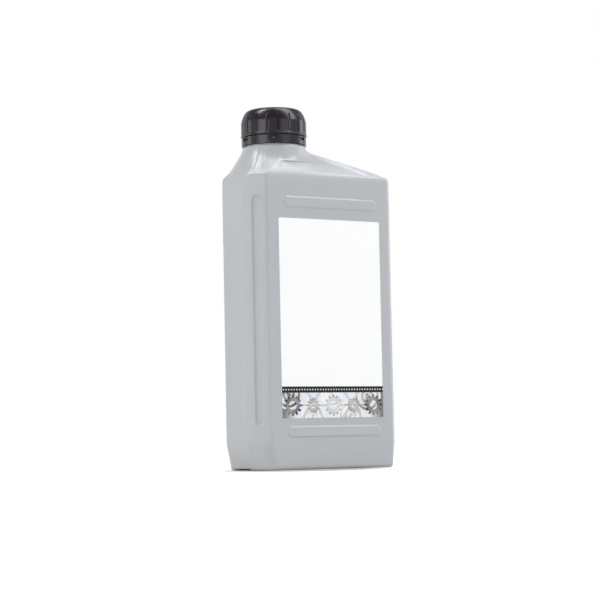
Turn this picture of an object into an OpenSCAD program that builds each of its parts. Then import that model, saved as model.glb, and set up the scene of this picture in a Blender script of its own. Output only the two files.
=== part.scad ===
// Flat one-litre oil bottle with an offset screw neck, in millimetres.
// The label faces -Y, the neck stands towards -X, and the origin is under the middle of the base.

/* [Body] */
// Width of the bottle, over the two narrow sides
body_w = 112.2; // [108:0.2:125]
// Depth of the bottle between its flat front and back
body_d = 51.2; // [49:0.2:58]
// Height at which the front wall turns into the shoulder
corner_z = 197.5; // [186:0.5:215]
// Thickness of the blown wall
wall = 1; // [0.8:0.1:1.4]
// Width of the two slanted corner faces on the neck side, measured along the front
facet = 11.6; // [10:0.2:13]
// Rounding of the two corners away from the neck
corner_r = 5; // [3:0.5:8]
// Length over which each edge of a slanted face is softened
edge_soft = 2; // [1:0.2:3]

/* [Foot] */
// Height of the foot, in which the slanted faces run out into round corners
foot_h = 17; // [14:1:21]
// Corner rounding of the foot on the neck side
foot_corner_r = 15.5; // [14:0.5:18]
// How far the neck side leans in at the base
foot_lean = 3.4; // [2:0.2:6]
// How far the other side leans in at the base
foot_lean_right = 1.4; // [0:0.1:2]
// Rounding of the bottom edge
base_r = 2.25; // [2:0.25:4]
// Width of the rim that the bottle stands on
stand_w = 4; // [3:0.5:6]
// Height by which the middle of the base is pushed up
push_up = 1.5; // [1:0.25:2.5]
// Width of the gap in the standing rim on the neck side
gap_w = 20; // [12:0.5:22]
// Height of that gap
gap_h = 1.2; // [0.6:0.1:1.4]

/* [Shoulder] */
// Place of the neck along the width
neck_x = -22.6; // [-24:0.2:-18]
// Radius of the collar under the tamper ring
collar_r = 21.5; // [21:0.1:22.4]
// Height of the collar's top above the corner height
neck_rise = 20.7; // [20.5:0.1:26]
// Travel of the sloping ledge that starts the shoulder
ledge = 4.2; // [3:0.2:5]
// Rise of the ledge, as a share of a straight slope's rise over the same travel
ledge_rise = 0.75; // [0.6:0.05:1]
// Height above the corner at which the shoulder meets the collar at the front
front_step = 9; // [7:0.5:12]
// The same height on the two narrow sides
side_step = 19; // [15:0.2:19]
// How much lower the shoulder starts on the neck side
left_drop = 6.5; // [4:0.5:10]
// How much the ridge stands over the corners at the end away from the neck
ridge = 6.8; // [4:0.2:9]

/* [Corner grooves] */
// Width of the upright groove in each slanted face
groove_w = 7.8; // [5:0.1:8.6]
// Depth of the groove
groove_deep = 0.5; // [0.3:0.05:0.6]
// How far the groove stands off the middle of its face, towards the flat front or back
groove_off = 0.8; // [0:0.1:1.2]
// Height of the groove's lower end above the foot
groove_rise = 12.4; // [9:0.2:28]
// Distance from the corner height down to the groove's upper end
groove_drop = 15.1; // [14.4:0.1:30]

/* [Raised bars] */
// Length of each bar over its round ends
bar_len = 75.2; // [60:0.2:80]
// Height of each bar's face
bar_h = 7.6; // [5:0.1:9]
// How far a bar stands out
bar_out = 0.6; // [0.4:0.1:1]
// Middle of the bars along the width
bar_x = 5.2; // [2:0.2:6]
// Height of the lower bar's middle above the foot
bar_rise = 8.1; // [5:0.1:12]
// Distance from the corner height down to the upper bar's middle
bar_drop = 19.4; // [14:0.1:24]

/* [Neck] */
// Outer radius of the neck's wall
neck_r = 18.7; // [18:0.1:19]
// Radius of the mouth
bore_r = 16.2; // [14:0.1:16.8]
// Height of the neck above the collar
neck_h = 20; // [19.8:0.1:24]
// Radius of the bead that holds the tamper ring down
bead_r = 20.2; // [20:0.1:20.4]
// Height of the bead's underside above the collar
bead_z = 3.2; // [3:0.1:3.4]
// Height of the bead
bead_h = 1.4; // [1.2:0.1:1.6]

/* [Thread] */
// Rise of the thread in one turn
pitch = 4.5; // [4:0.25:5]
// Turns of thread on the neck and in the cap
thread_turns = 1.5; // [1.25:0.25:1.5]
// How far the thread stands out
thread_deep = 1.5; // [1.2:0.1:1.6]
// Width of the thread at its root
thread_w = 2; // [1.6:0.1:2.2]
// Height of the neck thread's start above the collar
thread_z = 9.6; // [9.4:0.1:10]
// Clear space between the neck and the cap's thread
thread_clear = 0.5; // [0.4:0.05:0.6]

/* [Screw cap] */
// Outer radius of the cap
cap_r = 22.4; // [22.2:0.1:23]
// Height of the cap
cap_h = 19; // [18.8:0.1:24]
// Height of the upright part of the skirt
skirt_h = 9.9; // [9:0.1:11]
// Radius where the skirt's slope meets the rounded top edge
crown_r = 19.9; // [19.8:0.1:20.4]
// Radius of the flat top
top_r = 15; // [12:0.5:16]
// Height of the rounded top edge
crown_h = 2.8; // [2.4:0.2:3.6]
// Thickness of the cap's top in the middle
top_wall = 1.8; // [1.4:0.1:2.2]
// Number of grip grooves
grooves = 18; // [12:1:24]
// Width of a grip groove
grip_w = 1.2; // [0.8:0.1:1.6]
// Depth of a grip groove
grip_deep = 0.6; // [0.4:0.05:0.7]
// Height of the plain rim under the grooves
rim_h = 1.8; // [1.5:0.1:4]
// Turn of the grooves about the neck
grip_turn = 6.7; // [0:0.1:20]

/* [Cap liner] */
// Thickness of the liner
liner_t = 1.2; // [0.8:0.1:1.4]
// Clear space around the liner
liner_clear = 0.3; // [0.2:0.05:0.5]
// Clear space between the neck's lip and the cap
lip_clear = 0.75; // [0.6:0.05:0.8]

/* [Tamper ring] */
// Outer radius of the ring
ring_r = 21.9; // [21.7:0.1:22.4]
// Height of the ring
ring_h = 5.5; // [5.2:0.1:6]
// Clear space around the bead
ring_clear = 0.5; // [0.3:0.05:0.6]
// How far the catch inside the ring stands in
catch_in = 1; // [0.8:0.1:1.2]
// Height of the break line between ring and cap
break_gap = 0.4; // [0.3:0.05:0.6]
// Number of windows in the ring
windows = 6; // [4:1:8]
// Angle that a window takes
window_angle = 18; // [12:1:24]
// Height of a window
window_h = 1.8; // [1.2:0.1:2]
// Width of a break bridge
bridge_w = 1.2; // [0.8:0.1:1.6]
// Turn of the windows about the neck
window_turn = -123; // [-180:1:180]

/* [Labels] */
// Width of a label
label_w = 81; // [70:0.2:84]
// Clear space between a label and the lower bar
label_low = 5.1; // [4:0.1:10]
// Clear space between a label and the upper bar
label_high = 7.3; // [4:0.1:12]
// Thickness of the label's film
label_t = 0.2; // [0.1:0.05:0.3]
// Middle of the label along the width
label_x = 4.2; // [2:0.2:5]
// Corner rounding of a label
label_r = 0.8; // [0.5:0.1:3]
// Thickness of a printed field
ink_t = 0.1; // [0.05:0.05:0.15]
// Height of the dark band
band_h = 4.1; // [3:0.1:6]
// Height of the pale strip under the band
strip_h = 16.8; // [14:0.2:20]
// Number of plain wheels in the strip
wheels = 5; // [4:1:6]
// Radius of a large wheel, as a share of the strip's height
wheel_share = 0.42; // [0.35:0.01:0.45]
// Width of the line between the wheels
line_w = 0.7; // [0.5:0.1:1]

/* [Oil] */
// Distance from the collar's top down to the oil's surface
headspace = 22.2; // [20:0.2:60]
// Clear space between the oil and the wall
oil_clear = 0.3; // [0.2:0.1:0.5]

/* [Hidden] */
$fn = 96;
half_d = body_d / 2;
groove_z0 = foot_h + groove_rise;
groove_z1 = corner_z - groove_drop;
bar_z_low = foot_h + bar_rise;
bar_z_high = corner_z - bar_drop;
label_z = bar_z_low + bar_h / 2 + label_low;
label_h = bar_z_high - bar_h / 2 - label_high - label_z;
collar_z = corner_z + neck_rise;
oil_z = collar_z - headspace;
neck_top = collar_z + neck_h;
ring_top = collar_z + ring_h;
cap_z = ring_top + break_gap;
liner_top = neck_top + liner_t;
cap_top = cap_z + cap_h;
cap_in_r = neck_r + thread_clear + thread_deep;
seat_r = neck_r + lip_clear;
floor_z = push_up + wall * 1.4;
floor_in = 4;
shelf = 1.2 * wall;
shelf_r = (bore_r + neck_r) / 2;
groove_x = (facet + groove_off * sqrt(2)) / 2;
groove_in = (facet - groove_off * sqrt(2)) / 2;
front_n = 12;
straight_n = 3;
side_in = 0.6;
bridge_t = 0.8;
overlap = 0.01;
bury = 0.4;

// The outline is a list of points that runs from the middle of the neck side round the front.
// Points of a softened corner at v between the directions a and b
function soft(v, a, b, e) = [for (t = [0, 0.5, 1]) v + e * ((1 - t) ^ 2 * a + t ^ 2 * b)];

// Points of an arc about c, with both ends
function arc(c, r, a0, a1, n) =
    [for (i = [0:n]) c + r * [cos(a0 + (a1 - a0) * i / n), sin(a0 + (a1 - a0) * i / n)]];

// Points of a straight edge at y = -d, spread evenly as seen from the neck
function seen_from_neck(x0, x1, d) =
    let (a0 = atan2(-d, x0 - neck_x), a1 = atan2(-d, x1 - neck_x))
    [for (i = [1:front_n])
        let (a = a0 + (a1 - a0) * i / (front_n + 1)) [neck_x - d / tan(a), -d]];

// Round corner away from the neck and half of that side, inset by s and leaning in by q
function far_half(s, q) =
    let (x = body_w / 2 - s - q, y = half_d - s, r = max(corner_r - s, side_in))
    concat(arc([x - r, r - y], r, -90, 0, 4),
        [for (i = [1:straight_n]) [x, (r - y) * (1 - i / straight_n)]]);

// Front half of the body's outline with its slanted face, inset by s
function body_half(s) =
    let (x = body_w / 2 - s, y = half_d - s, f = facet - s * (2 - sqrt(2)),
        e = edge_soft, k = sqrt(0.5), r = max(corner_r - s, side_in),
        a = soft([-x, f - y], [0, 1], [k, -k], e), b = soft([f - x, -y], [-k, k], [1, 0], e))
    concat([for (i = [0:straight_n - 1]) [-x, (f - y + e) * i / straight_n]],
        a, [for (i = [1:2]) a[2] + (b[0] - a[2]) * i / 3], b,
        seen_from_neck(f - x + e, x - r, y), far_half(s, 0));

// Front half of the foot's outline with its round corner, inset by s
function foot_half(s) =
    let (x = body_w / 2 - s - foot_lean, y = half_d - s, r = max(foot_corner_r - s, side_in),
        far = body_w / 2 - s - foot_lean_right - max(corner_r - s, side_in))
    concat([for (i = [0:straight_n - 1]) [-x, (r - y) * i / straight_n]],
        arc([r - x, r - y], r, 180, 270, 7), seen_from_neck(r - x, far, y),
        far_half(s, foot_lean_right));

// Whole outline from its front half
function whole(h) = concat(h, [for (i = [len(h) - 2:-1:1]) [h[i].x, -h[i].y]]);

// Ring of an outline at height z
function at(outline, z) = [for (p = outline) [p.x, p.y, z]];

// Point of a curve from a past the corner b to c
function bend(a, b, c, t) = (1 - t) ^ 2 * a + 2 * t * (1 - t) * b + t ^ 2 * c;

// Share of a point that lies on the neck side, or on the side away from it
function on_side(p, x) = max(0, 1 - abs(p.x - x) / edge_soft);

// Shoulder's line over one outline point, as pairs of travel towards the neck and height.
// It turns in over the ledge, climbs to the collar and turns up into it.
function shoulder_line(p, s, drop, top) =
    let (v = p - [neck_x, 0], reach = norm(v), go = reach - collar_r + s,
        side = on_side(p, s - body_w / 2), far = on_side(p, body_w / 2 - s),
        z0 = corner_z - drop - left_drop * side + ridge * far * cos(90 * p.y / half_d),
        z2 = corner_z - drop + front_step + (side_step - front_step) * (v.x / reach) ^ 2,
        step = min(ledge, go * 0.6),
        z1 = z0 + (z2 - z0) * step / go * (ledge_rise + (1 - ledge_rise) * side),
        a = [0, z0], b = [step, z1], c = [go, z2],
        up = min(ledge, top - z2) * 0.9, m = (a + b) / 2,
        leg = (c - b) * min(0.4, ledge * 1.2 / norm(c - b)))
    concat([for (t = [0:0.25:1]) bend([0, z0 - ledge], a, m, t)],
        [for (t = [1 / 3, 2 / 3, 1]) bend(m, b, b + leg, t)],
        [for (t = [0:0.25:1]) bend(c - leg, c, [go, z2 + up], t)]);

// Rings of the shoulder, each point moved along its line towards the neck
function shoulder(s, drop, top) =
    let (o = whole(body_half(s)), lines = [for (p = o) shoulder_line(p, s, drop, top)])
    [for (j = [0:len(lines[0]) - 1]) [for (i = [0:len(o) - 1])
        let (v = o[i] - [neck_x, 0], q = o[i] - v / norm(v) * lines[i][j].x)
        [q.x, q.y, lines[i][j].y]]];

// Ring of radius r about the neck at height z
function collar(s, r, z) =
    [for (p = whole(body_half(s)))
        let (v = p - [neck_x, 0], q = [neck_x, 0] + v / norm(v) * r) [q.x, q.y, z]];

// Rings from the edge of the foot's floor up to the collar
function skin(s, z, r, drop, top) = concat(
    [for (a = [0:30:90]) at(whole(foot_half(s + r * (1 - sin(a)))), z + r * (1 - cos(a)))],
    [at(whole(body_half(s)), foot_h)], shoulder(s, drop, top), [collar(s, collar_r - s, top)]);

// Closed shell through a list of rings, with flat ends
module through(rings) {
    n = len(rings[0]);
    last = (len(rings) - 1) * n;
    first = straight_n + 1;
    sides = [for (j = [0:len(rings) - 2]) for (i = [0:n - 1]) for (h = [0, 1])
        let (k = (i + 1) % n, a = j * n + i, b = j * n + k)
        h == 0 ? [a, a + n, b] : [b, a + n, b + n]];
    polyhedron([for (r = rings) each r],
        concat(sides, [[for (i = [0:n - 1]) (i + first) % n],
            [for (i = [0:n - 1]) last + (first - i + n) % n]]), convexity = 6);
}

// Long pad with round ends and slanted edges, its foot on y = 0 and its face towards -Y
module pad(length, height, out, slant) {
    r = height / 2;
    x = length / 2 - r;
    rotate([90, 0, 0]) {
        for (side = [-1, 1])
            translate([side * x, 0, -bury]) cylinder(r1 = r, r2 = r - slant, h = out + bury);
        translate([-x, 0, 0]) rotate([90, 0, 90]) linear_extrude(2 * x)
            polygon([[-r, -bury], [r, -bury], [r - slant, out], [slant - r, out]]);
    }
}

// Screw thread as one swept ridge from radius r0 to r1, with ends that run out
module thread(r0, r1, z) {
    steps = 45;
    run_out = 6;
    foot = r0 + sign(r0 - r1) * bury;
    rings = [for (i = [0:steps])
        let (a = 360 * thread_turns * i / steps, h = z + pitch * a / 360,
            k = min(1, (i + 1) / run_out, (steps - i + 1) / run_out),
            crest = r0 + (r1 - r0) * k, half = thread_w / 2)
        [for (p = [[foot, -half], [crest, -half / 2], [crest, half / 2], [foot, half]])
            [p.x * cos(a), p.x * sin(a), h + p.y]]];
    n = 4;
    outward = r1 > r0;
    sides = [for (j = [0:steps - 1]) for (i = [0:n - 1]) for (h = [0, 1])
        let (k = (i + 1) % n, a = j * n + i, b = j * n + k,
            f = h == 0 ? [a, b, a + n] : [b, b + n, a + n])
        outward ? f : [f[2], f[1], f[0]]];
    start = [for (i = [0:n - 1]) outward ? n - 1 - i : i];
    end = [for (i = [0:n - 1]) steps * n + (outward ? i : n - 1 - i)];
    polyhedron([for (r = rings) each r], concat(sides, [start, end]), convexity = 6);
}

// Blown bottle: one hollow wall with its pushed-up base, shoulder, grooves, bars and threaded neck
module bottle() {
    base = [at(whole(foot_half(base_r + stand_w + push_up * 2)), push_up),
        at(whole(foot_half(base_r + stand_w)), 0)];
    outside = skin(0, 0, base_r, 0, collar_z);
    inside = concat(skin(wall, floor_z, floor_in, wall, collar_z - shelf),
        [for (z = [collar_z - shelf, collar_z]) collar(wall, shelf_r, z)]);
    color([0.7, 0.72, 0.74]) difference() {
        union() {
            through(concat(base, outside, [for (i = [len(inside) - 1:-1:0]) inside[i]]));
            for (turn = [0, 180], z = [bar_z_low, bar_z_high])
                translate([bar_x, -half_d * cos(turn), z]) rotate([0, 0, turn])
                    pad(bar_len, bar_h, bar_out, bar_out);
            translate([neck_x, 0, 0]) neck();
        }
        for (side = [-1, 1])
            translate([groove_x - body_w / 2, side * (half_d - groove_in),
                (groove_z0 + groove_z1) / 2])
                rotate([0, 0, -90 - side * 45]) rotate([0, 90, 0]) rotate([0, 0, 180])
                    pad(groove_z1 - groove_z0, groove_w, groove_deep, 2 * groove_deep);
        translate([-body_w / 2 - 1, 0, 0]) rim_gap();
    }
}

// Cutter of the gap in the standing rim, which opens into the pushed-up base
module rim_gap() {
    half = gap_w / 2;
    length = foot_lean + base_r + stand_w + push_up * 2 + 2;
    rotate([90, 0, 90]) linear_extrude(length)
        polygon([[-half - 1, -1], [half + 1, -1], [half - gap_h, gap_h], [gap_h - half, gap_h]]);
}

// Neck with its bead, thread and plain mouth
module neck() {
    lip = 0.6;
    low = collar_z - wall;
    z = collar_z + bead_z;
    rotate_extrude() polygon([[bore_r, low], [neck_r, low], [neck_r, z], [bead_r, z],
        [bead_r, z + bead_h / 2], [neck_r, z + bead_h], [neck_r, neck_top - lip],
        [neck_r - lip, neck_top], [bore_r, neck_top]]);
    thread(neck_r, neck_r + thread_deep, collar_z + thread_z);
}

// Outer line of the cap from its rim to its flat top
function cap_line() =
    let (slope_hold = [cap_r - 0.8, cap_top - crown_h - 3],
        crown_hold = [crown_r - 1.4, cap_top - 0.3],
        skirt = [cap_r, cap_z + skirt_h], crown = [crown_r, cap_top - crown_h])
    concat([[cap_r, cap_z], skirt], [for (t = [0.2:0.2:0.8]) bend(skirt, slope_hold, crown, t)],
        [for (t = [0:0.125:1]) bend(crown, crown_hold, [top_r, cap_top], t)]);

// Screw cap with grip grooves, a liner seat, a hollow top and its own thread
module screw_cap() {
    hollow_r = bore_r - 1;
    bore_top = cap_z + skirt_h + 1.6;
    seat_low = neck_top - 1;
    thread_low = collar_z + thread_z - thread_w - 0.1;
    color([0.16, 0.16, 0.18]) translate([neck_x, 0, 0]) {
        difference() {
            rotate_extrude() polygon(concat([[cap_in_r, cap_z]], cap_line(), [[0, cap_top],
                [0, cap_top - top_wall], [hollow_r, cap_top - top_wall], [hollow_r, liner_top],
                [seat_r, liner_top], [seat_r, seat_low], [cap_in_r, bore_top]]));
            for (i = [0:grooves - 1])
                rotate([0, 0, grip_turn + i * 360 / grooves]) grip_groove();
        }
        thread(cap_in_r, neck_r + thread_clear, thread_low);
    }
}

// Cutter of one grip groove, which follows the skirt up its slope
module grip_groove() {
    r = cap_r - grip_deep;
    out = cap_r + 1;
    slope_r = crown_r + 0.8;
    low = cap_z + rim_h;
    turn = cap_z + skirt_h;
    high = cap_top - crown_h - 1.6;
    clear = high + 1;
    translate([0, grip_w / 2, 0]) rotate([90, 0, 0]) linear_extrude(grip_w)
        polygon([[r, low], [out, low], [out, clear], [slope_r, clear],
            [slope_r - grip_deep, high], [r, turn]]);
}

// Tamper ring that stays under the bead, with windows, an inner catch and break bridges
module tamper_ring() {
    in_r = bead_r + ring_clear;
    catch_r = in_r - catch_in;
    catch_top = collar_z + bead_z - ring_clear;
    window_w = 2 * in_r * tan(window_angle / 2);
    window_z = ring_top - window_h - 0.9;
    bridge_r = (in_r + ring_r - bridge_t) / 2;
    color([0.16, 0.16, 0.18]) translate([neck_x, 0, 0]) {
        difference() {
            rotate_extrude() polygon([[catch_r, collar_z + catch_in], [in_r, collar_z],
                [ring_r, collar_z], [ring_r, ring_top], [in_r, ring_top],
                [in_r, catch_top + catch_in / 2], [catch_r, catch_top]]);
            for (i = [0:windows - 1])
                rotate([0, 0, window_turn + i * 360 / windows])
                    translate([in_r - overlap, -window_w / 2, window_z])
                    cube([ring_r, window_w, window_h]);
        }
        for (i = [0.5:windows - 0.5])
            rotate([0, 0, window_turn + i * 360 / windows])
                translate([bridge_r, -bridge_w / 2, ring_top - overlap])
                cube([bridge_t, bridge_w, break_gap + overlap]);
    }
}

// Soft liner disc between the mouth and the cap's top
module cap_liner() {
    color([0.93, 0.93, 0.9]) translate([neck_x, 0, neck_top])
        cylinder(r = seat_r - liner_clear, h = liner_t);
}

// Oil that fills the body up to its level
module gear_oil() {
    s = wall + oil_clear;
    color([0.75, 0.5, 0.15]) intersection() {
        through(skin(s, floor_z + oil_clear, floor_in, s, collar_z - shelf - oil_clear));
        translate([-body_w / 2, -half_d, 0]) cube([body_w, body_d, oil_z]);
    }
}

// Flat sheet with round corners on the front wall, its face towards -Y
module sheet(width, height, r, t) {
    rotate([90, 0, 0]) linear_extrude(t) {
        square([width - 2 * r, height], center = true);
        square([width, height - 2 * r], center = true);
        for (x = [-1, 1], z = [-1, 1])
            translate([x * (width / 2 - r), z * (height / 2 - r)]) circle(r);
    }
}

// White film label on the front
module front_label() {
    color("white") translate([label_x, -half_d, label_z + label_h / 2])
        sheet(label_w, label_h, label_r, label_t);
}

// Plain white film label on the back
module back_label() {
    color("white") translate([label_x, half_d, label_z + label_h / 2]) rotate([0, 0, 180])
        sheet(label_w, label_h, label_r, label_t);
}

// Bare dark band across the label
module label_band() {
    color([0.1, 0.1, 0.1])
        translate([label_x - label_w / 2, -half_d - label_t - ink_t, label_z + strip_h])
        cube([label_w, ink_t, band_h]);
}

// Pale grey field under the band
module label_strip() {
    color([0.75, 0.76, 0.78])
        translate([label_x, -half_d - label_t, label_z + label_h / 2]) intersection() {
            sheet(label_w, label_h, label_r, ink_t);
            translate([-label_w, -label_h, -label_h])
                cube([label_w * 2, label_h * 2, label_h / 2 + strip_h]);
        }
}

// Row of plain toothed wheels on one thin line, printed on the strip
module label_wheels() {
    space = label_w / wheels;
    color([0.25, 0.26, 0.28])
        translate([label_x, -half_d - label_t - ink_t, label_z + strip_h / 2])
        rotate([90, 0, 0]) linear_extrude(ink_t) {
            for (i = [0:wheels - 1])
                translate([(i - (wheels - 1) / 2) * space, 0])
                    wheel(strip_h * (i % 2 == 0 ? wheel_share : wheel_share * 0.7));
            for (i = [0:wheels - 2])
                translate([(i + 1 - wheels / 2) * space, 0])
                    square([space * 0.6, line_w], center = true);
        }
}

// Outline of one toothed wheel of radius r with a round hole
module wheel(r) {
    teeth = 12;
    tooth = r * 0.22;
    difference() {
        union() {
            circle(r - tooth);
            for (i = [0:teeth - 1])
                rotate(i * 360 / teeth) translate([r - tooth * 2, -tooth / 2])
                    square([tooth * 2, tooth]);
        }
        circle(r * 0.45);
    }
}

bottle();
screw_cap();
tamper_ring();
cap_liner();
gear_oil();
front_label();
back_label();
label_band();
label_strip();
label_wheels();
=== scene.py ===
import math

import bmesh
import bpy
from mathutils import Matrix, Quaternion, Vector


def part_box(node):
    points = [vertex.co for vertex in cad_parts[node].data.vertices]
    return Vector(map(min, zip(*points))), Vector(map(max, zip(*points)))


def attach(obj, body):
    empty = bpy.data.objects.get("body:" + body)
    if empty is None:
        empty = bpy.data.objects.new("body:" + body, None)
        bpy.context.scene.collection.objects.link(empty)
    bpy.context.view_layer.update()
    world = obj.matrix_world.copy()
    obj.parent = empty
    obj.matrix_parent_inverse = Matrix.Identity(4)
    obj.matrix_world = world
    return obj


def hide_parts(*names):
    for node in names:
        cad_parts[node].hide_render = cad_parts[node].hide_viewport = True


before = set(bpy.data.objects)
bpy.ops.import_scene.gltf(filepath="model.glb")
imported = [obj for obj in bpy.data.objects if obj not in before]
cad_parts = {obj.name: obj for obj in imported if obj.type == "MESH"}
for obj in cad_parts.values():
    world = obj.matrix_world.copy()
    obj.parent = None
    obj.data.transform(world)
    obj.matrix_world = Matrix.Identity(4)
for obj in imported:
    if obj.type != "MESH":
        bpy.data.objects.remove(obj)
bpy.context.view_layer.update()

mm = 0.001

# Camera: it stands low and to the left of the front, as in the photograph, and looks up a little.
# It is 1.36 m away behind a long lens, and leans by about one degree.
camera_turn = math.radians(32.85)
camera_climb = math.radians(3.99)
camera_lean = math.radians(-1.17)
camera_away = 1360 * mm
aim = Vector((-4.1, 0, 114.5)) * mm
ahead = Vector((math.sin(camera_turn) * math.cos(camera_climb),
                math.cos(camera_turn) * math.cos(camera_climb), math.sin(camera_climb)))
camera = bpy.data.objects.new("camera", bpy.data.cameras.new("camera"))
bpy.context.collection.objects.link(camera)
camera.data.sensor_width = 36
camera.data.lens = 120
camera.data.clip_start = 0.05
camera.rotation_mode = "QUATERNION"
camera.location = aim - ahead * camera_away
camera.rotation_quaternion = ahead.to_track_quat("-Z", "Y") @ Quaternion((0, 0, 1), camera_lean)
bpy.context.scene.camera = camera
bpy.context.scene.view_settings.view_transform = "Standard"


# Studio: a plain white floor and background. Soft boxes stand low on both sides of the camera and
# high on both sides, above and behind the bottle. Rays that see the background see it white. The
# floor keeps the lamps' soft shadows of the bottle, and around its foot a painted shadow is added:
# there the floor's white glow fades out and the floor shows its darker seen tone.
floor_half = 4
floor_white = 0.8
# The floor as seen is darker than the light it throws back. Where its glow fades out, between the shade
# start and end distances round a point ahead of the bottle, this shows as a painted shadow.
floor_seen = 0.4
painted_shade_start = 30 * mm
painted_shade_end = 72 * mm
painted_shade_ahead = 30 * mm
painted_shade_narrow = 0.9
painted_shade_long = 0.55
room_light = 0.1
ceiling = 0.35
box_away = 1.5


class Paint:
    """One socket of a shader. Sums and products of values add Math nodes; node() adds any other node."""

    def __init__(self, tree, socket=None):
        self.tree = tree
        self.socket = socket

    def node(self, kind, settings, inputs, out=0):
        made = self.tree.nodes.new("ShaderNode" + kind)
        for name, setting in settings.items():
            if name == "stops":
                ramp = made.color_ramp
                while len(ramp.elements) < len(setting):
                    ramp.elements.new(1)
                for element, (place, colour) in zip(ramp.elements, setting):
                    element.position = place
                    element.color = colour
            else:
                setattr(made, name, setting)
        for name, value in inputs.items():
            if isinstance(value, Paint):
                self.tree.links.new(value.socket, made.inputs[name])
            else:
                made.inputs[name].default_value = value
        return Paint(self.tree, made.outputs[out] if made.outputs else None)

    def math(self, operation, *values):
        return self.node("Math", {"operation": operation}, dict(enumerate(values)))

    def __add__(self, other):
        return self.math("ADD", self, other)

    def __radd__(self, other):
        return self.math("ADD", other, self)

    def __sub__(self, other):
        return self.math("SUBTRACT", self, other)

    def __rsub__(self, other):
        return self.math("SUBTRACT", other, self)

    def __mul__(self, other):
        return self.math("MULTIPLY", self, other)

    def __rmul__(self, other):
        return self.math("MULTIPLY", other, self)

    def __truediv__(self, other):
        return self.math("DIVIDE", self, other)


def grey(value):
    """Opaque neutral colour of one value."""
    return (value, value, value, 1)


studio = bpy.data.worlds.new("studio")
studio.use_nodes = True
studio.node_tree.nodes.clear()
bpy.context.scene.world = studio
air = Paint(studio.node_tree)


def seen_directly(paint):
    """1 for a ray that looks at the background itself or at its reflection, 0 for its light."""
    camera_ray, glossy, through = (paint.node("LightPath", {}, {}, "Is " + kind + " Ray")
                                   for kind in ("Camera", "Glossy", "Transmission"))
    return paint.math("MAXIMUM", camera_ray, paint.math("MAXIMUM", glossy, through))


height = air.node("SeparateXYZ", {}, {0: air.node("TexCoord", {}, {}, "Generated")}, "Z")
backdrop = air.node("MapRange", {"interpolation_type": "SMOOTHSTEP"},
                    {0: height, 1: 0.3, 2: 0.7, 3: 1, 4: ceiling})
glow = seen_directly(air) * (backdrop - room_light) + room_light
air.node("OutputWorld", {}, {"Surface": air.node("Background", {}, {"Color": grey(1), "Strength": glow})})


def new_paint(name):
    """An empty material and the paint that its nodes are added to."""
    material = bpy.data.materials.new(name)
    material.use_nodes = True
    material.node_tree.nodes.clear()
    return material, Paint(material.node_tree)


def finish_mesh(name, bm, material, crease=40):
    """Object of a finished mesh, smooth but for the edges sharper than crease degrees."""
    mesh = bpy.data.meshes.new(name)
    bm.to_mesh(mesh)
    bm.free()
    mesh.shade_smooth()
    mesh.set_sharp_from_angle(angle=math.radians(crease))
    mesh.materials.append(material)
    piece = bpy.data.objects.new(name, mesh)
    bpy.context.collection.objects.link(piece)
    return piece


floor_material, paint = new_paint("floor_white")
seen = seen_directly(paint)
# The camera and reflections see the floor darker than the tone that throws light back. This darker tone is
# what the painted shadow shows.
white = floor_white - seen * (floor_white - floor_seen)
white = paint.node("CombineColor", {}, {0: white, 1: white, 2: white})
paper = paint.node("BsdfDiffuse", {}, {"Color": white})
# Painted shadow: the floor's white glow, seen only by the camera and in reflections, fades out within an
# ellipse round the bottle that reaches out towards the camera. There the floor stays at its darker seen
# tone.
place = paint.node("Mapping", {}, {"Vector": paint.node("TexCoord", {}, {}, "Object"),
                                   "Rotation": (0, 0, camera_turn), "Location": (0, painted_shade_ahead, 0)})
place = paint.node("VectorMath", {"operation": "MULTIPLY"}, {0: place, 1: (painted_shade_narrow, painted_shade_long, 0)})
away = paint.node("VectorMath", {"operation": "LENGTH"}, {0: place}, "Value")
far = paint.node("MapRange", {"interpolation_type": "SMOOTHSTEP"},
                 {0: away, 1: painted_shade_start, 2: painted_shade_end, 3: 0, 4: 1})
glow_outside_painted_shadow = paint.node("Emission", {}, {"Color": grey(1), "Strength": seen * far})
paint.node("OutputMaterial", {}, {"Surface": paint.node("AddShader", {}, {0: paper, 1: glow_outside_painted_shadow})})
bm = bmesh.new()
bmesh.ops.create_grid(bm, x_segments=2, y_segments=2, size=floor_half)
floor = finish_mesh("floor", bm, floor_material)


def soft_box(name, turn, climb, size, strength, colour):
    """Rectangular lamp that faces the bottle, turn degrees to the left of its front and climb up."""
    turn, climb = math.radians(turn), math.radians(climb)
    towards = Vector((-math.sin(turn) * math.cos(climb), -math.cos(turn) * math.cos(climb),
                      math.sin(climb)))
    lamp = bpy.data.objects.new(name, bpy.data.lights.new(name, "AREA"))
    lamp.data.shape = "RECTANGLE"
    lamp.data.size, lamp.data.size_y = size
    lamp.data.energy = strength * math.pi * size[0] * size[1]
    lamp.data.color = colour
    lamp.location = aim + towards * box_away
    lamp.rotation_mode = "QUATERNION"
    lamp.rotation_quaternion = (-towards).to_track_quat("-Z", "Y")
    bpy.context.collection.objects.link(lamp)


soft_box("left_box", 72, 9, (0.9, 0.9), 3.1, (1, 0.99, 0.975))
soft_box("left_side_box", 129, 10, (0.4, 0.8), 2.5, (1, 0.99, 0.975))
soft_box("left_top_box", 106, 63, (0.3, 0.6), 18, (1, 0.99, 0.975))
soft_box("right_box", -10, 12, (0.8, 0.6), 1.2, (0.975, 0.99, 1))
soft_box("right_side_box", -82, 10, (0.4, 0.8), 3, (0.975, 0.99, 1))
soft_box("right_top_box", -44, 50, (0.6, 1.2), 6.6, (0.975, 0.99, 1))
soft_box("top_box", -60, 74, (0.9, 0.7), 3.2, (1, 1, 1))
soft_box("back_top_box", 213, 76, (0.9, 0.7), 1.5, (1, 1, 1))


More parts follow.
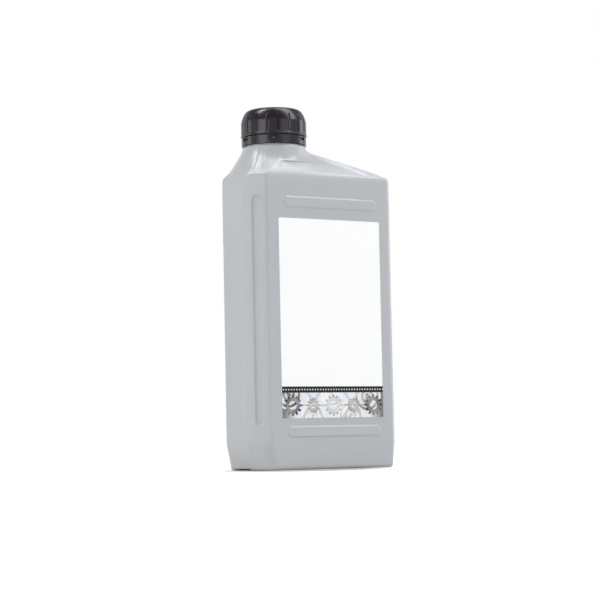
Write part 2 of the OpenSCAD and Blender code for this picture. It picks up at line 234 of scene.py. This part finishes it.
# Bottle: one blow-moulded wall of silver-grey polyethylene, about 1 mm thick.
# The neck side has two slanted corner faces, each with a sunk groove, and the front and back carry
# two raised bars. The shoulder climbs over a ledge to the collar of the neck, which stands off centre.
low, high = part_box("bottle")
cap_low, cap_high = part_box("screw_cap")
collar_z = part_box("tamper_ring")[0].z
bar_out = 0.6 * mm
half_w = (high.x - low.x) / 2
half_d = (high.y - low.y) / 2 - bar_out
neck = Vector(((cap_low.x + cap_high.x) / 2, 0))
neck_top = high.z
corner_z = collar_z - 20.7 * mm
wall = 1 * mm
facet = 11.6 * mm
corner_r = 5 * mm
edge_soft = 2 * mm
foot_h = 17 * mm
foot_r = 15.5 * mm
foot_lean = 3.4 * mm
foot_lean_far = 1.4 * mm
base_r = 2.25 * mm
stand_w = 4 * mm
push_up = 1.5 * mm
gap_w = 20 * mm
gap_h = 1.2 * mm
inner_r = 4 * mm
collar_r = 21.5 * mm
ledge = 4.8 * mm
ledge_rise = 0.5
ledge_min = 2.2 * mm
crease_drop = 1.5 * mm
crease_soft = 1.3 * mm
collar_round = 1 * mm
collar_round_h = 2.6 * mm
ledge_levels = 9
blur_levels = 9
blur_rate = 1.5
front_step = 9 * mm
side_step = 19 * mm
left_drop = 6.5 * mm
ridge = 6.8 * mm
bar_len = 75.2 * mm
bar_h = 7.6 * mm
bar_x = 5.2 * mm
bar_low = foot_h + 8.1 * mm
bar_high = corner_z - 19.4 * mm
groove_w = 7.8 * mm
groove_deep = 0.8 * mm
groove_off = 0.8 * mm
groove_low = foot_h + 12.4 * mm
groove_high = corner_z - 15.1 * mm
neck_r = 18.7 * mm
bore_r = 16.2 * mm
bead_r = 20.2 * mm
bead_z = collar_z + 3.2 * mm
bead_h = 1.4 * mm
lip = 0.6 * mm
pitch = 4.5 * mm
thread_turns = 1.5
thread_deep = 1.5 * mm
thread_w = 2 * mm
thread_z = collar_z + 9.6 * mm


def spread(start, end, count):
    """Even values from start up to, but without, end."""
    return [start + (end - start) * i / count for i in range(count)]


def ease(share):
    """Smooth step from 0 to 1."""
    share = min(1, max(0, share))
    return share * share * (3 - 2 * share)


def bend(a, b, c, share):
    """Point of a curve from a past the corner b to c."""
    return (1 - share) ** 2 * a + 2 * share * (1 - share) * b + share ** 2 * c


def soft_corner(corner, before, after):
    """Points of a corner of the slanted face, softened on both sides."""
    return [bend(corner + before * edge_soft, corner, corner + after * edge_soft, t)
            for t in spread(0, 1, 5)]


def slanted_face(inset):
    """Ends of the slanted face at the front of the neck side."""
    x, y = half_w - inset, half_d - inset
    across = facet - inset * (2 - math.sqrt(2))
    return Vector((-x, across - y)), Vector((across - x, -y))


# The walls have more points where a groove or the end of a bar passes than they have between them.
slant_half = facet * math.sqrt(0.5) - edge_soft
groove_start, groove_end = groove_off - groove_w / 2, groove_off + groove_w / 2
slant_places = (spread(-slant_half, groove_start - 0.2 * mm, 3)
                + spread(groove_start - 0.2 * mm, groove_start + 1 * mm, 6)
                + spread(groove_start + 1 * mm, groove_end - 1 * mm, 5)
                + spread(groove_end - 1 * mm, groove_end + 0.2 * mm, 6)
                + spread(groove_end + 0.2 * mm, slant_half, 2))
front_start, front_end = facet - half_w + edge_soft, half_w - corner_r
bar_start, bar_end = bar_x - bar_len / 2, bar_x + bar_len / 2
front_places = (spread(front_start, bar_start - 1 * mm, 4)
                + spread(bar_start - 1 * mm, bar_start + 4 * mm, 10)
                + spread(bar_start + 4 * mm, bar_end - 4 * mm, 28)
                + spread(bar_end - 4 * mm, bar_end + 1 * mm, 10)
                + spread(bar_end + 1 * mm, front_end, 2))
side_count, corner_count, far_count = 6, 8, 8


def front_and_far(start, end, y, far, r):
    """Outline of the front, the round corner and half of the far side."""
    stretch = (end - start) / (front_end - front_start)
    points = [Vector((start + (place - front_start) * stretch, -y)) for place in front_places]
    points += [Vector((far - r + r * math.cos(turn), r - y + r * math.sin(turn)))
               for turn in spread(-math.pi / 2, 0, corner_count)]
    points += [Vector((far, (r - y) * share)) for share in spread(1, 0, far_count)]
    return points + [Vector((far, 0))]


def body_front(inset):
    """Front half of the body's outline, from the middle of the neck side to that of the far side."""
    x, y = half_w - inset, half_d - inset
    r = corner_r - inset
    side_end, slant_end = slanted_face(inset)
    slant = (slant_end - side_end).normalized()
    middle = (side_end + slant_end) / 2
    narrower = ((slant_end - side_end).length / 2 - edge_soft) / slant_half
    points = [Vector((-x, (side_end.y + edge_soft) * share)) for share in spread(0, 1, side_count)]
    points += soft_corner(side_end, Vector((0, 1)), slant)
    points += [middle + slant * place * narrower for place in slant_places]
    points += soft_corner(slant_end, -slant, Vector((1, 0)))
    return points + front_and_far(slant_end.x + edge_soft, x - r, y, x, r)


near_count = side_count + 10 + len(slant_places)
near_points = body_front(0)[:near_count + 1]
near_lengths = [0]
for a, b in zip(near_points, near_points[1:]):
    near_lengths.append(near_lengths[-1] + (b - a).length)


def foot_front(inset):
    """Front half of the foot's outline, whose round corner takes the slanted face's points."""
    near, far, y = half_w - inset - foot_lean, half_w - inset - foot_lean_far, half_d - inset
    r, far_r = max(foot_r - inset, wall), max(corner_r - inset, wall)
    straight = y - r
    points = []
    for length in near_lengths[:-1]:
        gone = length / near_lengths[-1] * (straight + math.pi / 2 * r)
        turn = max(0, gone - straight) / r
        points.append(Vector((r - near - r * math.cos(turn), -min(gone, straight) - r * math.sin(turn))))
    return points + front_and_far(r - near, far - far_r, y, far, far_r)


def whole(front):
    """Whole outline from its front half, which starts and ends on the middle line."""
    return front + [Vector((p.x, -p.y)) for p in front[-2:0:-1]]


def pill(across, along, length, width, slope):
    """1 inside a field with round ends and 0 outside it, with a smooth slope at its edge."""
    inside = width / 2 - math.hypot(across, max(0, abs(along) - (length - width) / 2))
    return ease(inside / slope)


def relief(point, z):
    """Place of a wall point after the bars have been raised and the grooves sunk."""
    side = -1 if point.y < 0 else 1
    into = Vector((point.x + half_w, half_d - abs(point.y)))
    if into.y < 1e-6:
        raised = sum(pill(z - level, point.x - bar_x, bar_len, bar_h, bar_out * 1.5)
                     for level in (bar_low, bar_high))
        return point + Vector((0, side * bar_out * raised))
    if abs(into.x + into.y - facet) < 1e-6:
        across = (into.x - into.y) / math.sqrt(2) - groove_off
        length = groove_high - groove_low
        sunk = pill(across, z - groove_low - length / 2, length, groove_w, groove_deep * 1.4)
        return point + Vector((1, -side)) * math.sqrt(0.5) * groove_deep * sunk
    return point


def near_line(place, line):
    """1 on a side of the outline, 0 once the corner has turned away from it."""
    return ease(1 - abs(place - line) / edge_soft)


def shoulder_line(p, inset):
    """The shoulder over one outline point, as travel towards the neck and height."""
    v = p - neck
    travel = v.length - collar_r + inset
    near_side = near_line(p.x, inset - half_w)
    far_side = near_line(p.x, half_w - inset)
    behind = (p.x + half_w + half_d - abs(p.y) - facet) / math.sqrt(2) - inset
    crisp = ease(1 - behind / edge_soft) * (1 - near_side)
    start_z = (corner_z - inset - left_drop * near_side - crease_drop * crisp
               + ridge * far_side * math.cos(math.pi / 2 * p.y / half_d) ** 2)
    end_z = corner_z - inset + front_step + (side_step - front_step) * (v.x / v.length) ** 2
    step = ledge * travel / (travel + ledge_min)
    rise = 1 - (1 - ledge_rise) * crisp
    step_z = start_z + crease_drop * crisp + (end_z - start_z) * step / travel * rise
    a, b, c = Vector((0, start_z)), Vector((step, step_z)), Vector((travel, end_z))
    middle = (a + b) / 2
    leg = (c - b) * min(0.4, ledge * 1.2 / (c - b).length)
    turned = Vector((travel, end_z + min(ledge, collar_z - end_z) * 0.9))
    soft = ledge + (crease_soft - ledge) * crisp
    turned_in = a + (b - a) * (0.45 - 0.2 * crisp)
    return ([bend(Vector((0, start_z - soft)), a, turned_in, t) for t in spread(0, 1, 8)]
            + [turned_in] + [bend(middle, b, b + leg, t) for t in spread(0, 1, 5)]
            + [b + leg + (c - b - leg * 2) * t for t in spread(0, 1, 5)]
            + [bend(c - leg, c, turned, t) for t in spread(0, 1, 8)] + [turned])


def collar_point(spoke, away, z):
    """Point on a spoke from the neck's axis, drawn in where the collar's top edge is rounded."""
    high = max(0, 1 - (collar_z - z) / collar_round_h)
    return (neck + spoke * (away - collar_round * high * high)).to_3d() + Vector((0, 0, z))


def shoulder_rings(inset):
    """Rings of the shoulder, each point moved along its own line towards the neck. Each ring above
    the ledge is smoothed along its length, and more so near the neck."""
    outline = whole(body_front(inset))
    lines = [shoulder_line(p, inset) for p in outline]
    rings = []
    for level in range(len(lines[0])):
        ring = [((p - neck).normalized(), (p - neck).length - line[level].x, line[level].y)
                for p, line in zip(outline, lines)]
        for blur in range(int(min(blur_levels, max(0, level - ledge_levels)) ** 2 * blur_rate)):
            ring = [(own[0], (last[1] + after[1] + own[1] * 2) / 4, (last[2] + after[2] + own[2] * 2) / 4)
                    for last, own, after in zip(ring[-1:] + ring[:-1], ring, ring[1:] + ring[:1])]
        rings.append([collar_point(spoke, away, z) for spoke, away, z in ring])
    return rings


def level_ring(outline, z):
    """Ring of an outline at one height, raised over the gap in the standing rim."""
    gaps = [gap_h * ease((gap_w / 2 - abs(p.y)) / gap_h) if p.x < neck.x else 0 for p in outline]
    return [Vector((p.x, p.y, max(z, gap))) for p, gap in zip(outline, gaps)]


def foot_rings(inset, floor_z, edge_r, edge_count):
    """Rings of the rounded bottom edge and of the foot, in which the slanted faces appear."""
    foot = whole(foot_front(inset))
    body = whole(body_front(inset))
    rings = []
    for turn in spread(0, math.pi / 2, edge_count):
        outline = whole(foot_front(inset + edge_r * (1 - math.sin(turn))))
        rings.append(level_ring(outline, floor_z + edge_r * (1 - math.cos(turn))))
    start_z = floor_z + edge_r
    for z in spread(start_z, foot_h + 1 * mm, 10):
        share = (z - start_z) / (foot_h - start_z)
        share -= max(0, share - 0.9) ** 2 * 1.6
        rings.append(level_ring([f.lerp(b, min(1, share)) for f, b in zip(foot, body)], z))
    return rings


def neck_ring(r, z):
    """Ring round the neck, with one point for each point of the body's outline."""
    return [(neck + (p - neck).normalized() * r).to_3d() + Vector((0, 0, z)) for p in whole(body_front(0))]


def wrap(bm, rings):
    """Skin over a stack of closed rings: a grid is laid round them, its seam is merged, and its
    open ends are filled."""
    rows, columns = len(rings), len(rings[0])
    grid = bmesh.ops.create_grid(bm, x_segments=columns, y_segments=rows - 1, size=1)["verts"]
    for i, vert in enumerate(grid):
        vert.co = rings[i // (columns + 1)][i % (columns + 1) % columns]
    bmesh.ops.remove_doubles(bm, verts=grid, dist=1e-7)
    bmesh.ops.holes_fill(bm, edges=bm.edges, sides=0)


half_bar = bar_h / 2
wall_levels = (spread(foot_h + 1 * mm, bar_low - half_bar - 0.6 * mm, 2)
               + spread(bar_low - half_bar - 0.6 * mm, bar_low - 2 * mm, 7)
               + spread(bar_low - 2 * mm, bar_low + 2 * mm, 6)
               + spread(bar_low + 2 * mm, groove_low + 4 * mm, 18)
               + spread(groove_low + 4 * mm, bar_high - half_bar - 0.6 * mm, 16)
               + spread(bar_high - half_bar - 0.6 * mm, bar_high - 2 * mm, 7)
               + spread(bar_high - 2 * mm, bar_high + 1 * mm, 6)
               + spread(bar_high + 1 * mm, groove_high + 0.6 * mm, 12))
outline = whole(body_front(0))
rings = [level_ring(whole(foot_front(base_r + stand_w + out)), z)
         for out, z in ((12 * mm, push_up), (push_up * 2.4, push_up), (push_up * 1.6, push_up * 0.85),
                        (push_up * 0.6, push_up * 0.15), (0, 0))]
rings += foot_rings(0, 0, base_r, 7)
rings += [[relief(p, z).to_3d() + Vector((0, 0, z)) for p in outline] for z in wall_levels]
rings += shoulder_rings(0)
shoulder_top = rings[-1]
rings += [[collar_point((p.to_2d() - neck).normalized(), collar_r, p.z + (collar_z - p.z) * share)
           for p in shoulder_top] for share in (0.25, 0.5, 0.65, 0.8, 0.9, 0.97)]
rings += [neck_ring(r, z) for r, z in (
    (collar_r - collar_round - 0.15 * mm, collar_z), (neck_r + 0.5 * mm, collar_z),
    (neck_r, collar_z + 0.5 * mm), (neck_r, bead_z), (bead_r, bead_z), (bead_r, bead_z + bead_h / 2),
    (neck_r, bead_z + bead_h), (neck_r, neck_top - lip), (neck_r - lip * 0.3, neck_top - lip * 0.3),
    (neck_r - lip, neck_top), (bore_r + 0.2 * mm, neck_top), (bore_r, neck_top - 0.2 * mm),
    (bore_r, collar_z - wall), (bore_r + 0.6 * mm, collar_z - wall * 1.4))]
rings += shoulder_rings(wall)[::-3]
rings += [level_ring(whole(body_front(wall)), z) for z in spread(corner_z - 14 * mm, foot_h, 5)]
rings += [level_ring(whole(foot_front(wall + inner_r * (1 - math.cos(turn)))),
                     push_up + wall + inner_r * (1 - math.sin(turn))) for turn in spread(0, math.pi / 2, 6)]
rings += [level_ring(whole(foot_front(wall + inner_r)), push_up + wall)]
bm = bmesh.new()
wrap(bm, rings)
turns = [2 * math.pi * thread_turns * i / 60 for i in range(61)]
thread_rings = []
for i, turn in enumerate(turns):
    crest = neck_r + thread_deep * min(1, (i + 1) / 7, (61 - i) / 7)
    height = thread_z + pitch * turn / (2 * math.pi)
    thread_rings.append([Vector((neck.x + r * math.cos(turn), r * math.sin(turn), height + rise))
                         for r, rise in ((neck_r - 0.3 * mm, -thread_w / 2), (crest, -thread_w / 4),
                                         (crest, thread_w / 4), (neck_r - 0.3 * mm, thread_w / 2))])
wrap(bm, thread_rings)
bmesh.ops.recalc_face_normals(bm, faces=bm.faces)

silver, paint = new_paint("silver_grey_polyethylene")
place = paint.node("TexCoord", {}, {}, "Object")
x, y, z = (paint.node("SeparateXYZ", {}, {0: place}, axis) for axis in "XYZ")


def noise(paint, place, scale, detail, stretch=(1, 1, 1)):
    """Soft random value about 0.5, in features of 1 / scale metres."""
    mapped = paint.node("Mapping", {}, {"Vector": place, "Scale": stretch})
    return paint.node("TexNoise", {}, {"Vector": mapped, "Scale": scale, "Detail": detail}, "Fac")


def mix(paint, share, a, b):
    """Colour a, with b over it by a share."""
    return paint.node("Mix", {"data_type": "RGBA"}, {0: share, 6: a, 7: b}, 2)


flow = noise(paint, place, 60, 3, (1, 1, 0.25))
cloud = noise(paint, place, 18, 2)
speck = noise(paint, place, 2600, 1)
tone = mix(paint, cloud, (0.395, 0.413, 0.436, 1), (0.425, 0.441, 0.461, 1))
tone = mix(paint, flow * 0.3, tone, (0.46, 0.475, 0.49, 1))
tone = mix(paint, speck * 0.10, tone, (0.56, 0.57, 0.59, 1))
parting = paint.math("SUBTRACT", 1, paint.math("ABSOLUTE", y) / (0.45 * mm))
parting = paint.node("Clamp", {}, {0: parting})
skin = noise(paint, place, 900, 2) * 0.5 + noise(paint, place, 140, 2) + parting * 0.8
bump = paint.node("Bump", {}, {"Height": skin, "Strength": 0.25, "Distance": 0.08 * mm})
rough = noise(paint, place, 45, 3) * 0.1 + 0.27
plastic = paint.node("BsdfPrincipled", {}, {
    "Base Color": tone, "Roughness": rough, "Normal": bump, "IOR": 1.5, "Specular IOR Level": 0.5})
paint.node("OutputMaterial", {}, {"Surface": plastic})

body = finish_mesh("moulded_bottle", bm, silver)
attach(body, "filled_bottle")
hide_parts("bottle")


# Screw cap: one injection-moulded piece of glossy black polypropylene with a rounded crown.
# Eighteen narrow grooves run down its ribbed skirt and end above a plain rim.
cap_r = (cap_high.x - cap_low.x) / 2
cap_z = cap_low.z
cap_h = cap_high.z - cap_low.z
rib_r = cap_r - 0.25 * mm
skirt_h = 9.9 * mm
crown_r = 19.9 * mm
top_r = 15 * mm
crown_h = 2.8 * mm
top_wall = 1.8 * mm
rim_h = 1.8 * mm
seat_r = neck_r + 0.75 * mm
thread_clear = 0.5 * mm
cap_bore_r = neck_r + thread_clear + thread_deep
seat_z = neck_top + 1.2 * mm - cap_z
grooves = 18
grip_turn = math.radians(6.7)
grip_w = 1.1 * mm
grip_deep = 0.6 * mm
grip_soft = 0.45 * mm


def lathe(bm, profile, steps, centre):
    """Surface of a profile of radius and height pairs, spun round a centre."""
    verts = [bm.verts.new((centre.x + r, centre.y, z)) for r, z in profile]
    edges = [bm.edges.new(pair) for pair in zip(verts, verts[1:])]
    bmesh.ops.spin(bm, geom=verts + edges, cent=(centre.x, centre.y, 0), axis=(0, 0, 1), dvec=(0, 0, 0),
                   angle=2 * math.pi, steps=steps, use_merge=True)
    bmesh.ops.remove_doubles(bm, verts=bm.verts, dist=1e-6)
    bmesh.ops.recalc_face_normals(bm, faces=bm.faces)


slope_start, crown_start = Vector((rib_r, skirt_h)), Vector((crown_r, cap_h - crown_h))
profile = [(cap_bore_r, 0.3 * mm), (cap_bore_r + 0.3 * mm, 0), (cap_r - 0.8 * mm, 0),
           (cap_r - 0.15 * mm, 0.3 * mm), (cap_r, 0.55 * mm), (cap_r, rim_h - 0.5 * mm),
           (cap_r - 0.06 * mm, rim_h - 0.3 * mm), (rib_r, rim_h - 0.1 * mm), (rib_r, rim_h + 0.2 * mm)]
profile += [(rib_r, z) for z in spread(rim_h + 0.6 * mm, skirt_h, 8)]
profile += [bend(slope_start, Vector((cap_r - 0.9 * mm, cap_h - crown_h - 3 * mm)), crown_start, t)
            for t in spread(0, 1, 10)]
profile += [bend(crown_start, Vector((crown_r - 1.4 * mm, cap_h - 0.3 * mm)), Vector((top_r, cap_h)), t)
            for t in spread(0, 1, 10)]
profile += [(top_r, cap_h), (0, cap_h), (0, cap_h - top_wall), (bore_r - 1 * mm, cap_h - top_wall),
            (bore_r - 1 * mm, seat_z), (seat_r, seat_z), (seat_r, neck_top - 1 * mm - cap_z),
            (cap_bore_r, skirt_h + 1.6 * mm), (cap_bore_r, 0.3 * mm)]
bm = bmesh.new()
lathe(bm, [(r, z + cap_z) for r, z in profile], grooves * 14, neck)
groove_top = cap_h - crown_h - 1.8 * mm
outside_r = max(crown_r - 1 * mm, cap_bore_r + 0.1 * mm)
rib_angle = 2 * math.pi / grooves
for vert in bm.verts:
    spoke = vert.co.to_2d() - neck
    height = vert.co.z - cap_z
    if spoke.length > outside_r and rim_h < height < groove_top + 1.5 * mm:
        turn = (math.atan2(spoke.y, spoke.x) - grip_turn + rib_angle / 2) % rib_angle - rib_angle / 2
        across = ease((grip_w / 2 + 0.25 * mm - abs(turn) * spoke.length) / grip_soft)
        fade = ease((groove_top + 0.8 * mm - height) / (1.6 * mm)) * ease((height - rim_h) / (0.5 * mm))
        sunk = neck + spoke * (1 - grip_deep * across * fade / spoke.length)
        vert.co.x, vert.co.y = sunk

black, paint = new_paint("glossy_black_polypropylene")
place = paint.node("TexCoord", {}, {}, "Object")
haze = noise(paint, place, 120, 3)
grain = noise(paint, place, 1500, 2)
bump = paint.node("Bump", {}, {"Height": grain, "Strength": 0.2, "Distance": 0.03 * mm})
plastic = paint.node("BsdfPrincipled", {}, {
    "Base Color": mix(paint, haze, (0.006, 0.003, 0.008, 1), (0.010, 0.006, 0.013, 1)),
    "Roughness": haze * 0.1 + 0.2, "Normal": bump, "IOR": 1.5, "Specular IOR Level": 0.35})
paint.node("OutputMaterial", {}, {"Surface": plastic})

cap = finish_mesh("ribbed_cap", bm, black, 35)
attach(cap, "cap")
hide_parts("screw_cap")


# Tamper ring: a narrow band of the cap's own plastic that stays on the neck below it.
# Its windows show the neck, and six thin bridges join it to the cap until the first opening.


def repaint(node, material):
    """Gives a carried-over piece its finish."""
    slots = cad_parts[node].data.materials
    slots.clear()
    slots.append(material)


repaint("tamper_ring", black)


# Cap liner: a disc of white foam that is pressed into the cap and seals the mouth.
foam, paint = new_paint("white_liner_foam")
place = paint.node("TexCoord", {}, {}, "Object")
cells = paint.node("TexVoronoi", {}, {"Vector": place, "Scale": 2500}, "Distance")
bump = paint.node("Bump", {}, {"Height": cells, "Strength": 0.5, "Distance": 0.1 * mm})
plastic = paint.node("BsdfPrincipled", {}, {
    "Base Color": mix(paint, cells, (0.86, 0.86, 0.83, 1), (0.78, 0.78, 0.75, 1)),
    "Roughness": 0.7, "Normal": bump})
paint.node("OutputMaterial", {}, {"Surface": plastic})
repaint("cap_liner", foam)


# Gear oil: the clear amber contents, which fill the bottle to just under its neck.
amber, paint = new_paint("amber_oil")
place = paint.node("TexCoord", {}, {}, "Object")
depth = noise(paint, place, 30, 2)
oil = paint.node("BsdfPrincipled", {}, {
    "Base Color": mix(paint, depth, (0.42, 0.17, 0.02, 1), (0.52, 0.23, 0.03, 1)),
    "Roughness": depth * 0.04 + 0.04, "IOR": 1.48})
paint.node("OutputMaterial", {}, {"Surface": oil})
repaint("gear_oil", amber)


# Labels: white polypropylene film with a satin face, one on the front and a plain one on the back.
film, paint = new_paint("white_label_film")
place = paint.node("TexCoord", {}, {}, "Object")
ripple = noise(paint, place, 40, 2)
bump = paint.node("Bump", {}, {"Height": ripple, "Strength": 0.15, "Distance": 0.15 * mm})
plastic = paint.node("BsdfPrincipled", {}, {
    "Base Color": mix(paint, ripple, (0.92, 0.92, 0.92, 1), (0.94, 0.94, 0.94, 1)),
    "Roughness": ripple * 0.1 + 0.32, "Normal": bump, "IOR": 1.48})
paint.node("OutputMaterial", {}, {"Surface": plastic})
repaint("front_label", film)
repaint("back_label", film)


# Print on the front label: a dark band with a row of small dots, and under it a strip of toothed
# wheels, rings and rods in greys, which is bold at its ends and pale in its middle.
strip_low, strip_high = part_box("label_strip")
band_low, band_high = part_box("label_band")
strip_h = strip_high.z - strip_low.z
strip_w = strip_high.x - strip_low.x
wheels = 5
wheel_share = 0.42
small_share = 0.7
wheel_space = strip_w / wheels
ink_rough = 0.4


def strip_place(paint):
    """Place on the strip, across and up, in strip heights from its lower left corner."""
    place = paint.node("TexCoord", {}, {}, "Object")
    x, z = (paint.node("SeparateXYZ", {}, {0: place}, axis) for axis in "XZ")
    return (x - strip_low.x) / strip_h, (z - strip_low.z) / strip_h


def distance(paint, across, up, centre):
    """Distance from a centre on the strip."""
    x, z = across - centre[0], up - centre[1]
    return paint.math("SQRT", x * x + z * z)


def ramp(paint, value, stops):
    """Greys of a printed shape from its middle to its edge."""
    return paint.node("ValToRGB", {"stops": [(place, grey(tone)) for place, tone in stops]}, {0: value})


def below(paint, value, edge):
    """1 where a value is below an edge, with the edge softened as in print."""
    return paint.node("MapRange", {}, {0: value, 1: edge + 0.012, 2: edge - 0.012, 3: 0, 4: 1})


def finish_print(paint, colour):
    """Satin ink of one colour on the film."""
    ink = paint.node("BsdfPrincipled", {}, {
        "Base Color": colour, "Roughness": ink_rough, "IOR": 1.48, "Specular IOR Level": 0.25})
    paint.node("OutputMaterial", {}, {"Surface": ink})


band_ink, paint = new_paint("band_ink")
place = paint.node("TexCoord", {}, {}, "Object")
x, z = (paint.node("SeparateXYZ", {}, {0: place}, axis) for axis in "XZ")
dot_space = 2.1 * mm
x = (paint.math("FRACT", (x - band_low.x) / dot_space) - 0.5) * dot_space
z = z - (band_low.z + band_high.z) / 2
dot = paint.math("SQRT", x * x + z * z) / mm
dots = paint.node("MapRange", {}, {0: dot, 1: 0.54, 2: 0.4, 3: 0, 4: 1})
finish_print(paint, mix(paint, dots, grey(0.012), grey(0.75)))
repaint("label_band", band_ink)

strip_ink, paint = new_paint("strip_ink")
across, up = strip_place(paint)
sheen = noise(paint, paint.node("TexCoord", {}, {}, "Object"), 90, 3)
colour = mix(paint, sheen, (0.62, 0.64, 0.73, 1), (0.88, 0.90, 0.95, 1))
end = paint.math("ABSOLUTE", across * strip_h / strip_w - 0.5)
end = paint.node("MapRange", {}, {0: end, 1: 0.36, 2: 0.48, 3: 0, 4: 0.8})
colour = mix(paint, end, colour, grey(0.05))
for centre, r, lean, pale in (((0.30, 0.95), 0.62, 0.0, 0.12), ((1.42, 0.05), 0.55, 0.35, 0.6),
                              ((2.35, 0.92), 0.50, 0.15, 0.7), ((3.22, 0.08), 0.60, 0.5, 0.55),
                              ((4.05, 0.85), 0.66, 0.25, 0.3)):
    gone = distance(paint, across, up, centre)
    turn = paint.math("SINE", paint.math("ARCTAN2", up - centre[1], across - centre[0]) * 2 + lean * 6)
    tone = ramp(paint, gone / r, (
        (0, 0.02), (0.16, 0.03), (0.2, 0.8), (0.28, 0.3), (0.32, 0.02), (0.46, 0.03), (0.5, 0.8),
        (0.6, 0.5), (0.66, 0.9), (0.72, 0.02), (0.86, 0.03), (0.9, 0.9), (1, 0.55)))
    tone = mix(paint, turn * 0.15 + pale + 0.1, tone, grey(0.9))
    colour = mix(paint, below(paint, gone, r), colour, tone)
for start, lean, thick in ((0.95, 0.8, 0.05), (1.9, -0.7, 0.045), (2.85, 0.75, 0.05), (3.75, -0.8, 0.04)):
    off = paint.math("ABSOLUTE", across - up * lean - start)
    tone = ramp(paint, off / thick, ((0, 0.95), (0.5, 0.7), (0.75, 0.05), (1, 0.03)))
    colour = mix(paint, below(paint, off, thick), colour, tone)
finish_print(paint, colour)
repaint("label_strip", strip_ink)

wheel_ink, paint = new_paint("wheel_ink")
across, up = strip_place(paint)
space = wheel_space / strip_h
cell = across / space
index = paint.math("FLOOR", cell)
small = paint.math("PINGPONG", index, 1)
r = wheel_share * (1 - small * (1 - small_share))
x = (cell - index - 0.5) * space
z = up - 0.5
gone = paint.math("SQRT", x * x + z * z) / r
turn = paint.math("SINE", paint.math("ARCTAN2", z, x) * 2 + index)
tone = ramp(paint, gone, (
    (0, 0.02), (0.44, 0.03), (0.5, 0.1), (0.52, 0.85), (0.58, 0.3), (0.62, 0.7), (0.7, 0.6),
    (0.74, 0.05), (0.8, 0.04), (1, 0.1)))
end = paint.math("ABSOLUTE", index - 2) * 0.5
tone = mix(paint, end * 0.7, tone, grey(0.02))
tone = mix(paint, turn * 0.12 + 0.62 - end * 0.5, tone, grey(0.75))
finish_print(paint, tone)
repaint("label_wheels", wheel_ink)
